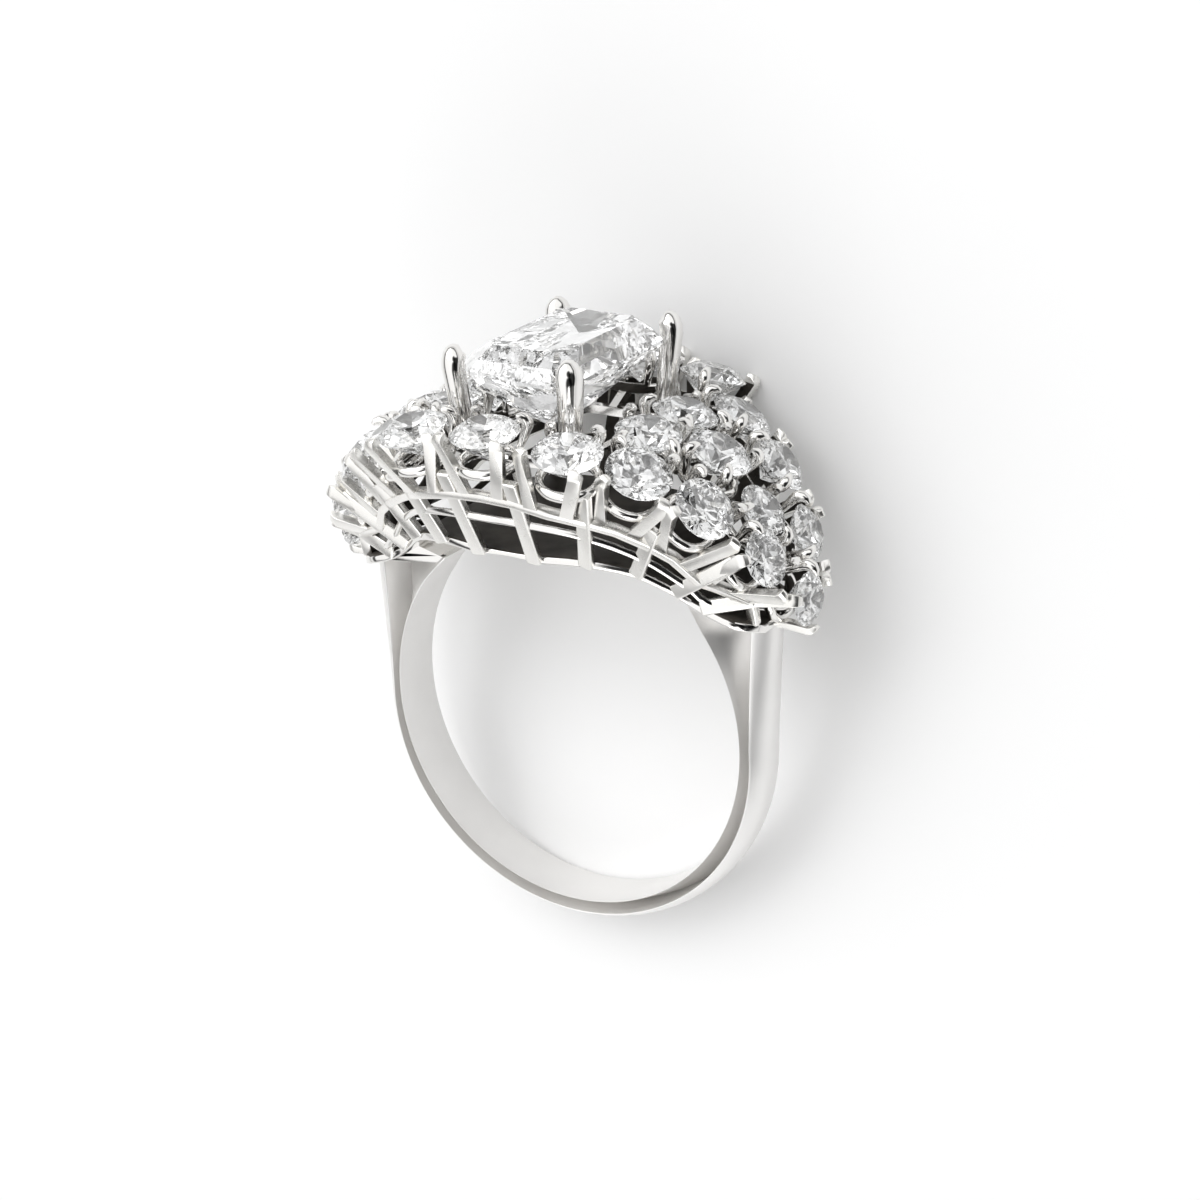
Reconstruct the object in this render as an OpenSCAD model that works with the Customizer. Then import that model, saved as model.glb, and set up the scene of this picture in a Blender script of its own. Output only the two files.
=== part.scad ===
// Cluster cocktail ring: a rectangular cut stone in four claws over a saddle of round brilliants,
// on an open wire gallery and a plain shank. Lengths are in millimetres.
// The ring is drawn upright first: x across the hand, y up from the finger's centre, z along the finger.
// It is then laid on its side, so that it rests on the gallery's rim and the bottom of the shank.

/* [Finger hole] */
// Radius of the finger hole
finger_r = 8.6; // [8.4:0.05:8.7]

/* [Shank] */
// Half of the shank's width against the finger
shank_half_w = 1.35; // [1.2:0.05:1.5]
// Thickness of the shank in the middle of its width, at the bottom
shank_t = 1; // [0.9:0.05:1.2]
// Thickness of the shank at its rounded edges, at the bottom
shank_edge_t = 0.6; // [0.5:0.05:0.8]
// Distance from the finger's centre to the outside of each arm, level with that centre
arm_x = 9.57; // [9.5:0.01:9.8]
// Outward lean of the arms, in millimetres for each millimetre of height
arm_lean = 0.08; // [0.04:0.01:0.1]
// Half of the width of a shoulder's outer face at its top
shoulder_half_w = 1.1; // [1:0.05:1.4]
// Height of a shoulder's outer top edge above the finger's centre
shoulder_y = 5.9; // [5.7:0.05:6]

/* [Centre stone] */
// Width of the centre stone, across the hand
centre_w = 5.8; // [5.5:0.05:5.9]
// Length of the centre stone, along the finger
centre_l = 8.2; // [7.8:0.05:8.3]
// Height of the centre stone's girdle above the finger's centre
centre_y = 15.9; // [15.7:0.05:16.1]
// Width taken off each corner of the centre stone
corner_cut = 0.95; // [0.8:0.05:1.1]

/* [Claws] */
// Width of the flat outer claws of the round stones
ribbon_w = 0.6; // [0.5:0.05:0.7]
// Thickness of the flat outer claws
ribbon_t = 0.45; // [0.4:0.05:0.55]
// Width of the round inner claws
claw_w = 0.52; // [0.4:0.02:0.56]
// Width of the centre stone's claws
centre_claw_w = 1; // [0.8:0.05:1.1]
// Thickness of the centre stone's claws, towards the stone
centre_claw_t = 0.9; // [0.7:0.05:0.95]
// Clear space between a stone and the metal that holds it
seat_gap = 0.06; // [0.04:0.01:0.1]

/* [Gallery] */
// Thickness of the rails and ties
rail_t = 0.4; // [0.3:0.05:0.45]
// Width of the posts between the baskets
post_w = 0.7; // [0.6:0.05:0.8]
// Depth of the seat rings below the stones' girdles
seat_depth = 1.3; // [1.3:0.05:1.45]
// Stones whose centres are nearer than this are tied together at their seat rings
tie_reach = 3.2; // [3.1:0.05:3.3]

/* [Hidden] */
// Round stones of one quarter of the ring. Rim stones run from the middle of the long side to the end.
// name, centre x, y, z, diameter, lean to the side, splay along the finger, turns of the claws
NAME = 0;
PLACE = 1;
DIAMETER = 2;
LEAN = 3;
SPLAY = 4;
CLAWS = 5;
RIM = [
  ["rim_0", [0, 14.2, 6.1], 2.9, 0, 9, [-48, 48, 135, 225]],
  ["rim_1", [3.72, 13.76, 5.82], 2.9, 9, 15, [-55, 42, 165, 235]],
  ["rim_2", [6.01, 12.75, 4.2], 2.8, 30, 16, [-22, 72, 160, 250]],
  ["rim_3", [8.39, 11.29, 3.16], 2.7, 50, 14, [-20, 94, 150, 240]],
  ["rim_4", [10.36, 9.05, 1.78], 2.35, 68, 10, [-16, 90, 153, 278]],
  ["rim_5", [11.3, 6.88, 0], 2.3, 88, 0, [-15, 90, 195, 270]],
];
DOME = [
  ["dome_1", [4.87, 13.49, 1.49], 2.8, 14, 4, [70, 148, 240, 345]],
  ["dome_2", [7.35, 12.55, 0], 2.8, 30, 0, [40, 140, 207, 333]],
  ["dome_3", [9.29, 10.39, 0], 2.35, 50, 0, [90, 198, 342]],
];

// Feet of the rim baskets: centre x, y, z of each foot on the basket rail, and spread of its flat claws
FOOT = 0;
SPREAD = 1;
BASKETS = [
  [[0, 11.65, 6.5], 1.6],
  [[3.02, 11.3, 6.3], 1.5],
  [[5.13, 10.4, 4.7], 1.4],
  [[7.1, 9.17, 3.6], 1.2],
  [[8.45, 7.75, 2.4], 1.0],
];

// Posts between neighbouring baskets: upper end, lower end, then how far down its length each post
// crosses the basket rail and the thin rail
HEAD = 0;
HEEL = 1;
BASKET_RAIL_AT = 2;
THIN_RAIL_AT = 3;
POSTS = [
  [[1.6, 12.55, 6.85], [1.35, 8.5, 4.92], 0.25, 0.52],
  [[4.55, 12.3, 6.1], [3.5, 8.5, 4.42], 0.38, 0.6],
  [[6.75, 10.6, 4.38], [5.35, 8.15, 3.6], 0.33, 0.65],
  [[9.7, 9.2, 3.05], [6.6, 7.3, 2.7], 0.6, 0.8],
  [[10.7, 7.4, 1.45], [7.6, 6.65, 2.35], 0.35, 0.8],
];
thin_rail_end = [10.4, 6.4, 0];
end_strut_foot = [9.6, 6, 1.5];

// Outline and width of the web that joins the top of each arm to the base plate
arm_web_w = 1.8;
ARM_WEB = [[5.4, 6], [9.2, 5.6], [9.1, 6.05], [7.6, 6.6], [6.6, 7.3], [5.4, 8.1]];

// Half of the base plate that closes the gallery over the finger: x, height and half of its width
BASE_PLATE = [
  [1.2, 8.6, 4.95],
  [3.45, 8.6, 4.5],
  [5.3, 8.2, 3.7],
  [6.6, 7.3, 2.8],
  [7.6, 6.6, 2.45],
  [9.1, 6.05, 2.25],
  [10.0, 5.75, 1.3],
];

// Levels of the centre stone: height from the girdle, share of the girdle's width and of its length
CENTRE_LEVELS = [
  [-2.9, 0.05, 0.2],
  [-2.2, 0.36, 0.46],
  [-1.2, 0.72, 0.78],
  [-0.08, 1, 1],
  [0.08, 1, 1],
  [0.55, 0.86, 0.9],
  [1.0, 0.66, 0.74],
];
centre_claw_foot_y = 12.1;
centre_claw_top = 0.95;

// Cut of the round stones, as shares of the diameter
table_share = 0.56;
crown_share = 0.155;
star_share = 0.8;
star_rise = 0.55;
girdle_share = 0.02;
pavilion_share = 0.42;
lower_half_share = 0.22;
lower_half_depth = 0.8;

// Outlines that claws and bars are swept with, as shares of the half width and half thickness
SQUARE = [[1, 1], [-1, 1], [-1, -1], [1, -1]];
ROUND = [for (i = [0 : 4]) [-sin(72 * i), cos(72 * i)]];
SIX = [for (i = [0 : 5]) [-sin(60 * i), cos(60 * i)]];

// Seat rings: radius as a share of the stone's diameter, half of their width, and count of sides
seat_share = 0.42;
seat_half_w = 0.2;
seat_sides = 8;

// Claws: height at which they stand beside the girdle; then, for the tips of round and flat claws, how
// far they rise and lean in, and the shares of the claw's width and thickness that are left there
claw_girdle_rise = 0.1;
TIP_RISE = 0;
TIP_LEAN = 1;
TIP_W = 2;
TIP_T = 3;
ROUND_TIP = [0.42, 0.42, 0.5, 0.4];
FLAT_TIP = [0.34, 0.22, 0.8, 0.5];
flat_claw_squareness = 2;
low_claw_t = 0.3;
basket_rail_w = 0.56;
tie_clearance = 0.15;

// Shank: turn of its last station from the bottom, count of stations, and the dome of its section
last_turn = 137;
station_count = 17;
DOME_STEPS = [-1, -0.7, 0, 0.7, 1];
dome_power = 2.4;
shoulder_drop = 0.85;
bore_stock = 0.5;
bore_length = 16;

function unit(v) = v / norm(v);
function lerp(a, b, k) = a * (1 - k) + b * k;
function smooth(k) = k <= 0 ? 0 : k >= 1 ? 1 : k * k * (3 - 2 * k);
function round_of(n, start, r, z) = [
  for (i = [0 : n - 1])
  let (a = start + 360 / n * i)
  [r * cos(a), r * sin(a), z]
];
function flat(lists) = [for (l = lists) for (p = l) p];
function mirrored_point(p, side_x, side_z) = [p.x * side_x, p.y, p.z * side_z];

// A round stone's own directions: its axis, the way along the rim and the way outwards
function axis_of(s) = [
  sin(s[LEAN]) * cos(s[SPLAY]),
  cos(s[LEAN]) * cos(s[SPLAY]),
  sin(s[SPLAY])
];
function along_of(s) = [cos(s[LEAN]), -sin(s[LEAN]), 0];
function outward_of(s) = cross(along_of(s), axis_of(s));
function heading(s, turn) = outward_of(s) * cos(turn) + along_of(s) * sin(turn);
function seat_of(s) = s[PLACE] - axis_of(s) * seat_depth;

// The way along the rim at rim stone i, from its neighbours
function rim_tangent(i) =
  i == 0 ? [1, 0, 0] : unit(RIM[i + 1][PLACE] - RIM[i - 1][PLACE]);

// One ring of a sweep: the outline, set square to the way the sweep runs
function section(p, way, out, w, t, outline) =
  let (side = unit(cross(way, out)), face = unit(cross(side, way)))
  [for (c = outline) p + side * c.x * w / 2 + face * c.y * t / 2];

// Rings of the claw at one turn of a stone: at the girdle and at the tip
function claw_head(s, turn, w, t, outline, end, squareness = 0) =
  let (
    up = axis_of(s),
    out = heading(s, turn),
    face = unit(out + outward_of(s) * squareness),
    corner = norm(cross(out, face)) * w / 2,
    reach = s[DIAMETER] / 2 + seat_gap + t / 2 + corner,
    girdle = s[PLACE] + out * reach + up * claw_girdle_rise,
    tip = s[PLACE] + out * (reach - end[TIP_LEAN]) + up * end[TIP_RISE]
  )
  [
    section(girdle, up, face, w, t, outline),
    section(tip, up - out * 1.4, face, w * end[TIP_W], t * end[TIP_T], outline),
  ];

// A round claw stands in the seat ring
function claw_rings(s, turn) =
  let (foot = seat_of(s) + heading(s, turn) * (s[DIAMETER] * seat_share) + axis_of(s) * 0.08)
  concat(
    [section(foot, axis_of(s), heading(s, turn), claw_w / 2, claw_w / 2, ROUND)],
    claw_head(s, turn, claw_w, claw_w, ROUND, ROUND_TIP)
  );

// A flat claw stands on the basket rail and turns towards its stone as it rises
function flat_claw_rings(i, side) =
  let (
    s = RIM[i],
    along = rim_tangent(i),
    out = unit(cross(BASKETS[i][FOOT] - s[PLACE], along)),
    fall = cross(along, out),
    foot = BASKETS[i][FOOT] + along * side * BASKETS[i][SPREAD] / 2
  )
  concat(
    [section(foot, fall * -1, out, ribbon_w, ribbon_t, SQUARE)],
    claw_head(s, s[CLAWS][side < 0 ? 0 : 1], ribbon_w, ribbon_t, SQUARE, FLAT_TIP, flat_claw_squareness)
  );

function on_post(i, share) = lerp(POSTS[i][HEAD], POSTS[i][HEEL], share);

// The shank's section at one turn from the bottom: two points under the bore, then the domed outside
function shank_section(turn) =
  let (
    side = turn < 0 ? -1 : 1,
    a = abs(turn),
    rise = smooth((a - 50) / (last_turn - 50)),
    high = max(0, (a - 90) / (last_turn - 90)),
    on_bore = [finger_r * sin(a), -finger_r * cos(a)],
    way = [sin(min(a, 90)), -cos(min(a, 90))],
    arm_y = shoulder_y * high,
    arm_out = [arm_x + arm_lean * arm_y, arm_y],
    low_out = on_bore + way * lerp(shank_t, arm_x - finger_r, smooth((a - 40) / 50)),
    out = a < 90 ? low_out : arm_out,
    half_in = lerp(shank_half_w, shank_half_w * 0.76, smooth(4 * high - 3)),
    half_out = lerp(shank_half_w - 0.1, shoulder_half_w, high),
    edge_drop = lerp(shank_t - shank_edge_t, shoulder_drop, rise)
  )
  concat(
    [for (k = [1, -1]) let (p = on_bore - way * bore_stock) [p.x * side, p.y, k * half_in]],
    [
      for (f = DOME_STEPS)
      let (p = out - way * edge_drop * pow(abs(f), dome_power))
      [p.x * side, p.y, f * half_out]
    ]
  );

SHANK_RINGS = [
  for (i = [-station_count : station_count]) shank_section(last_turn * i / station_count)
];

// Tilt that sets the ring down on its rim's claws and the edge of the shank, found by halving
function lowest(points, tilt) = min([for (p = points) p.y * sin(tilt) + p.z * cos(tilt)]);
RIM_POINTS = flat([
  for (i = [0, 1, 2], side = [-1, 1])
  flat([
    for (ring = flat_claw_rings(i, side))
    [for (p = ring) mirrored_point(p, 1, -1)]
  ])
]);
SHANK_POINTS = flat(SHANK_RINGS);
function rest_tilt(low, high, steps) =
  let (mid = (low + high) / 2)
  steps == 0 ? mid
  : lowest(RIM_POINTS, mid) < lowest(SHANK_POINTS, mid) ? rest_tilt(mid, high, steps - 1)
  : rest_tilt(low, mid, steps - 1);
tilt = rest_tilt(5, 25, 24);
rest_z = -lowest(SHANK_POINTS, tilt);
back_y = min([for (p = SHANK_POINTS) p.y * cos(tilt) - p.z * sin(tilt)]);
centre_top_y = centre_y + centre_claw_top;
front_y = centre_top_y * cos(tilt) + (centre_l / 2) * sin(tilt);
rest_y = -(back_y + front_y) / 2;

// Every round stone where it stands: its row, then its side in x and in z
SIDES = [["front_right", 1, 1], ["front_left", -1, 1], ["back_right", 1, -1], ["back_left", -1, -1]];
ROW = 0;
SIDE_X = 1;
SIDE_Z = 2;
STONE_NAME = 3;
function side_word(row, side) =
  row[PLACE].x == 0 ? (side[2] > 0 ? "front" : "back")
  : row[PLACE].z == 0 ? (side[1] > 0 ? "right" : "left")
  : side[0];
ROUND_STONES = [
  for (row = concat(RIM, DOME), side = SIDES)
  if ((row[PLACE].x > 0 || side[1] > 0) && (row[PLACE].z > 0 || side[2] > 0))
  [row, side[1], side[2], str(row[NAME], "_", side_word(row, side))]
];

// Closes a list of rings into one solid
module swept(rings, looped = false) {
  n = len(rings);
  k = len(rings[0]);
  last = looped ? n - 1 : n - 2;
  walls = [
    for (i = [0 : last], j = [0 : k - 1])
    let (a = i * k, b = ((i + 1) % n) * k, m = (j + 1) % k)
    [a + j, a + m, b + m, b + j]
  ];
  caps = looped ? [] : [[for (j = [k - 1 : -1 : 0]) j], [for (j = [0 : k - 1]) (n - 1) * k + j]];
  polyhedron(flat(rings), concat(walls, caps), convexity = 4);
}

// A straight flat bar between two points, its width square to "out"
module bar(a, b, out, w, t) {
  way = unit(b - a);
  side = unit(cross(way, out));
  on_axes(a, side, way, cross(side, way))
    translate([-w / 2, 0, -t / 2]) cube([w, norm(b - a), t]);
}

// Sets its children down at a place, with their own x, y and z along three given directions
module on_axes(p, x, y, z) {
  multmatrix([[x.x, y.x, z.x, p.x], [x.y, y.y, z.y, p.y], [x.z, y.z, z.z, p.z], [0, 0, 0, 1]]) children();
}

module four_sides() {
  for (side_x = [1, -1], side_z = [1, -1]) scale([side_x, 1, side_z]) children();
}

module laid_down() {
  translate([0, rest_y, rest_z]) rotate([tilt, 0, 0]) children();
}

// A rail along a course of points; "ups" says which way is up for the rail at each of them
module rail_along(course, ups, w, t, looped) {
  m = len(course);
  swept(
    [
      for (i = [0 : m - 1])
      let (
        before = course[looped ? (i + m - 1) % m : max(i - 1, 0)],
        after = course[looped ? (i + 1) % m : min(i + 1, m - 1)]
      )
      section(course[i], after - before, ups[i], w, t, SQUARE)
    ],
    looped = looped
  );
}

// A rail that runs round the head, from its points in one quarter; the first has x = 0, the last z = 0
module round_rail(quarter, w, t) {
  n = len(quarter);
  course = concat(
    quarter,
    [for (i = [n - 2 : -1 : 0]) mirrored_point(quarter[i], 1, -1)],
    [for (i = [1 : n - 1]) mirrored_point(quarter[i], -1, -1)],
    [for (i = [n - 2 : -1 : 1]) mirrored_point(quarter[i], -1, 1)]
  );
  rail_along(course, [for (p = course) [0, 1, 0]], w, t, true);
}

// The rail that the flat claws stand on, along one long side of the head
module basket_rail() {
  right = flat([for (i = [0 : 4]) [BASKETS[i][FOOT], on_post(i, POSTS[i][BASKET_RAIL_AT])]]);
  ups = flat([for (i = [0 : 4]) [axis_of(RIM[i]), axis_of(RIM[i]) + axis_of(RIM[i + 1])]]);
  last = len(right) - 1;
  rail_along(
    concat([for (i = [last : -1 : 1]) mirrored_point(right[i], -1, 1)], right),
    concat([for (i = [last : -1 : 1]) mirrored_point(ups[i], -1, 1)], ups),
    basket_rail_w, rail_t, false
  );
}

// The sheet that closes the gallery's underside; its edge is the lowest rail
module base_plate() {
  left = [for (i = [len(BASE_PLATE) - 1 : -1 : 0]) mirrored_point(BASE_PLATE[i], -1, 1)];
  swept([
    for (p = concat(left, BASE_PLATE))
    [for (c = SQUARE) [p.x, p.y + c.y * rail_t / 2, p.z * c.x]]
  ]);
}

// The ring under a round stone's girdle, which its claws hold
module seat_ring(s) {
  r = s[DIAMETER] * seat_share;
  on_axes(seat_of(s), outward_of(s), along_of(s), axis_of(s))
    rotate_extrude($fn = seat_sides)
      polygon([[r - seat_half_w, rail_t / 2], [r, -rail_t / 2], [r + seat_half_w, rail_t / 2]]);
}

// The end stone's lower claw runs in along the top of the shoulder, its side claws start on the last posts
module end_basket(s) {
  for (side_z = [1, -1]) {
    side_foot = mirrored_point(on_post(4, 0.3), 1, side_z);
    swept(concat(
      [section(side_foot, s[PLACE] - side_foot, [0, 0, side_z], ribbon_w, ribbon_t, SQUARE)],
      claw_head(s, s[CLAWS][side_z > 0 ? 0 : 2], ribbon_w, ribbon_t, SQUARE, FLAT_TIP)
    ));
  }
  low_foot = [9.9, 5.65, 0];
  swept(concat(
    [section(low_foot, [1, 0, 0], [0, -1, 0], ribbon_w, low_claw_t, SQUARE)],
    claw_head(s, s[CLAWS][1], ribbon_w, low_claw_t, SQUARE, FLAT_TIP)
  ));
  swept(claw_rings(s, s[CLAWS][3]));
}

module basket(s) {
  place_in_rim = search([s[NAME]], RIM)[0];
  seat_ring(s);
  if (place_in_rim == [])
    for (turn = s[CLAWS]) swept(claw_rings(s, turn));
  else if (place_in_rim == 5) end_basket(s);
  else {
    for (side = [-1, 1]) swept(flat_claw_rings(place_in_rim, side));
    for (k = [2, 3]) swept(claw_rings(s, s[CLAWS][k]));
  }
}

// Ties from the seat rings of the dome's stones to the seat rings of their neighbours
module ties() {
  seats = [
    for (s = ROUND_STONES)
    [
      mirrored_point(seat_of(s[ROW]), s[SIDE_X], s[SIDE_Z]),
      mirrored_point(s[ROW][PLACE], s[SIDE_X], s[SIDE_Z]),
      s[ROW][DIAMETER] * seat_share
    ]
  ];
  rim_total = len([for (s = ROUND_STONES) if (search([s[ROW][NAME]], RIM)[0] != []) 1]);
  for (i = [0 : len(seats) - 2], j = [max(i + 1, rim_total) : len(seats) - 1])
    if (
      norm(seats[i][1] - seats[j][1]) < tie_reach
      && norm(seats[i][0] - seats[j][0]) > seats[i][2] + seats[j][2] + tie_clearance
    ) {
      way = unit(seats[j][0] - seats[i][0]);
      bar(
        seats[i][0] + way * (seats[i][2] - seat_half_w / 2),
        seats[j][0] - way * (seats[j][2] - seat_half_w / 2),
        [0, 1, 0], rail_t, rail_t
      );
    }
}

// Four heavy claws on a low frame hold the centre stone; ties run out to the seat rings beside them
module centre_basket() {
  corner = [centre_w / 2 - corner_cut / 2, 0, centre_l / 2 - corner_cut / 2];
  out = unit([1, 0, 1]);
  stem = corner + out * (seat_gap + centre_claw_t / 2);
  foot = [stem.x - 0.35, centre_claw_foot_y, stem.z - 0.35];
  girdle = [stem.x, centre_y + 0.1, stem.z];
  bend = [stem.x - 0.04, centre_y + centre_claw_top - 0.32, stem.z - 0.04];
  tip = [stem.x - 0.18, centre_y + centre_claw_top, stem.z - 0.18];
  w = centre_claw_w;
  t = centre_claw_t;
  up = [0, 1, 0];
  four_sides()
    swept([
      section(foot, girdle - foot, out, w * 0.72, t * 0.8, SIX),
      section(girdle, up, out, w, t, SIX),
      section(bend, up - out * 0.2, out, w * 0.95, t * 0.95, SIX),
      section(tip, up - out, out, w * 0.45, t * 0.5, SIX),
    ]);
  low_y = centre_claw_foot_y + 0.25;
  corner_x = foot.x + 0.03;
  corner_z = foot.z + 0.03;
  round_rail([[0, low_y, corner_z], [corner_x, low_y, corner_z], [corner_x, low_y, 0]], rail_t, rail_t);
  four_sides()
    bar([foot.x, low_y, foot.z], seat_of(RIM[1]) - out * RIM[1][DIAMETER] * 0.4, up, rail_t, rail_t);
  for (side_z = [1, -1]) scale([1, 1, side_z])
    bar([0, low_y, foot.z], seat_of(RIM[0]) - [0, 0, RIM[0][DIAMETER] * 0.4], up, rail_t, rail_t);
}

module gallery() {
  base_plate();
  thin_course = [for (i = [0 : 4]) on_post(i, POSTS[i][THIN_RAIL_AT])];
  round_rail(
    concat([[0, thin_course[0].y, thin_course[0].z]], thin_course, [thin_rail_end]),
    rail_t * 0.6, rail_t * 0.75
  );
  for (side_z = [1, -1]) scale([1, 1, side_z]) basket_rail();
  four_sides() {
    for (i = [0 : 4]) bar(POSTS[i][HEAD], POSTS[i][HEEL], outward_of(RIM[i]), post_w, rail_t);
    bar(on_post(4, POSTS[4][BASKET_RAIL_AT]), end_strut_foot, outward_of(RIM[4]), basket_rail_w, rail_t);
  }
  for (stone = ROUND_STONES)
    scale([stone[SIDE_X], 1, stone[SIDE_Z]]) basket(stone[ROW]);
  ties();
  centre_basket();
}

module arm_webs() {
  for (side_x = [1, -1]) scale([side_x, 1, 1])
    linear_extrude(height = arm_web_w, center = true) polygon(ARM_WEB);
}

// Shank, gallery and claws are one casting, bored to the finger
module mount() {
  color("gainsboro") laid_down() difference() {
    resize([0, 0, 0]) union() {
      swept(SHANK_RINGS);
      arm_webs();
      gallery();
    }
    cylinder(h = bore_length, r = finger_r, center = true, $fn = 96);
  }
}

// Rectangular stone with cut corners, long facets on the crown and a narrow culet
module centre_stone() {
  color("aliceblue") laid_down() translate([0, centre_y, 0])
    swept([
      for (level = CENTRE_LEVELS)
      let (
        x = centre_w / 2 * level[1],
        z = centre_l / 2 * level[2],
        cut = corner_cut * level[1]
      )
      [
        for (c = [[x - cut, z], [cut - x, z], [-x, z - cut], [-x, cut - z],
                  [cut - x, -z], [x - cut, -z], [x, cut - z], [x, z - cut]])
        [c.x, level[0], c.y]
      ]
    ]);
}

// Round brilliant on its own axis: table, stars, kites, upper halves, girdle, lower halves and mains
module brilliant(d) {
  r = d / 2;
  half_girdle = d * girdle_share / 2;
  table = round_of(8, 0, r * table_share, half_girdle + d * crown_share);
  star = round_of(8, 22.5, r * star_share, half_girdle + d * crown_share * star_rise);
  top = round_of(16, 0, r, half_girdle);
  bottom = round_of(16, 0, r, -half_girdle);
  low = round_of(8, 22.5, r * lower_half_share, -half_girdle - d * pavilion_share * lower_half_depth);
  culet = [[0, 0, -half_girdle - d * pavilion_share]];
  points = concat(table, star, top, bottom, low, culet);
  faces = concat(
    [[7, 6, 5, 4, 3, 2, 1, 0]],
    [for (i = [0 : 7]) [i, (i + 1) % 8, 8 + i]],
    [for (i = [0 : 7]) [i, 8 + i, 16 + 2 * i]],
    [for (i = [0 : 7]) [i, 16 + 2 * i, 8 + (i + 7) % 8]],
    [for (i = [0 : 7]) [8 + i, 16 + 2 * i + 1, 16 + 2 * i]],
    [for (i = [0 : 7]) [8 + i, 16 + (2 * i + 2) % 16, 16 + 2 * i + 1]],
    [for (i = [0 : 15]) [16 + i, 16 + (i + 1) % 16, 32 + (i + 1) % 16, 32 + i]],
    [for (i = [0 : 7]) [48 + i, 32 + 2 * i, 32 + 2 * i + 1]],
    [for (i = [0 : 7]) [48 + i, 32 + 2 * i + 1, 32 + (2 * i + 2) % 16]],
    [for (i = [0 : 7]) [48 + i, 48 + (i + 7) % 8, 32 + 2 * i]],
    [for (i = [0 : 7]) [56, 48 + (i + 7) % 8, 48 + i]]
  );
  polyhedron(points, faces, convexity = 2);
}

module round_stone(stone) {
  s = stone[ROW];
  color("aliceblue") laid_down() scale([stone[SIDE_X], 1, stone[SIDE_Z]])
    on_axes(s[PLACE], outward_of(s), along_of(s), axis_of(s)) brilliant(s[DIAMETER]);
}

mount();
centre_stone();
for (stone = ROUND_STONES)
  round_stone(stone);
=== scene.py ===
import bpy
import bmesh
import math
from mathutils import Matrix, Vector


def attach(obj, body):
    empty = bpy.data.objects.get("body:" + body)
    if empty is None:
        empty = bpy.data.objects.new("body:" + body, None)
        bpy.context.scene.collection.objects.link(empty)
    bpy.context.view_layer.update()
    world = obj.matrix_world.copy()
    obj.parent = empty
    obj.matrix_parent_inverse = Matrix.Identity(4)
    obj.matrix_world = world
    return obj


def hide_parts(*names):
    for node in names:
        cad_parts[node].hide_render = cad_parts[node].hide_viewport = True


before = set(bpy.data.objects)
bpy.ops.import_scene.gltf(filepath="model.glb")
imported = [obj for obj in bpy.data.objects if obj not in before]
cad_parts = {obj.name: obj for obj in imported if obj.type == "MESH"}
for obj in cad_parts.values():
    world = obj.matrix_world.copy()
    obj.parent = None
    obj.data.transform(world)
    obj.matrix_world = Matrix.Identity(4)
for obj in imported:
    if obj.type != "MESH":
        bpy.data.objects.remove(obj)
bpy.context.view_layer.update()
print("cad model loaded")

# The ring is modelled upright in millimetres: x across the hand, y up from the finger, z along it.
# At the end each piece is laid on its side, as the cad model lies, and brought to metres.
lying = {"tilt": 15.4833, "place": (0, -4.0058, 3.66065)}
layDown = (Matrix.Scale(0.001, 4) @ Matrix.Translation(lying["place"])
           @ Matrix.Rotation(math.radians(lying["tilt"]), 4, "X"))

# Stones of one quarter: place, diameter, lean to the side, splay along the finger, turns of the claws
rimStones = {
    "rim_0": ((0, 14.2, 6.1), 2.9, 0, 9, (-48, 48, 135, 225)),
    "rim_1": ((3.72, 13.76, 5.82), 2.9, 9, 15, (-55, 42, 165, 235)),
    "rim_2": ((6.01, 12.75, 4.2), 2.8, 30, 16, (-22, 72, 160, 250)),
    "rim_3": ((8.39, 11.29, 3.16), 2.7, 50, 14, (-20, 94, 150, 240)),
    "rim_4": ((10.36, 9.05, 1.78), 2.35, 68, 10, (-16, 90, 153, 278)),
    "rim_5": ((11.3, 6.88, 0), 2.3, 88, 0, (-15, 90, 195, 270)),
}
domeStones = {
    "dome_1": ((4.87, 13.49, 1.49), 2.8, 14, 4, (70, 148, 240, 345)),
    "dome_2": ((7.35, 12.55, 0), 2.8, 30, 0, (40, 140, 207, 333)),
    "dome_3": ((9.29, 10.39, 0), 2.35, 50, 0, (90, 198, 342)),
}
allStones = {**rimStones, **domeStones}
rimNames = list(rimStones)


def turned(place, sideX=1, sideZ=1):
    return Vector((place[0] * sideX, place[1], place[2] * sideZ))


class Seat:
    # where a round stone sits, with its own three directions
    def __init__(self, name):
        place, self.wide, lean, splay, self.claws = allStones[name]
        lean, splay = math.radians(lean), math.radians(splay)
        self.name = name
        self.place = Vector(place)
        level = math.cos(splay)
        self.up = Vector((math.sin(lean) * level, math.cos(lean) * level, math.sin(splay)))
        self.along = Vector((math.cos(lean), -math.sin(lean), 0))
        self.out = self.along.cross(self.up)

    def heading(self, turn):
        turn = math.radians(turn)
        return self.out * math.cos(turn) + self.along * math.sin(turn)


seats = {name: Seat(name) for name in allStones}


def selectOnly(*objs):
    if bpy.context.mode != "OBJECT":
        bpy.ops.object.mode_set(mode="OBJECT")
    bpy.ops.object.select_all(action="DESELECT")
    for obj in objs:
        obj.select_set(True)
    if objs:
        bpy.context.view_layer.objects.active = objs[0]


def startPiece(name):
    # a bare mesh, open for wires to be added to it
    selectOnly()
    bpy.ops.mesh.primitive_plane_add(size=1)
    piece = bpy.context.object
    piece.name = piece.data.name = name
    bpy.ops.object.mode_set(mode="EDIT")
    bpy.ops.mesh.select_all(action="SELECT")
    bpy.ops.mesh.delete(type="VERT")
    return piece


def axesFor(way, out):
    side = out.cross(way).normalized()
    face = way.cross(side).normalized()
    return Matrix((side, face, way.normalized())).transposed()


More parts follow.
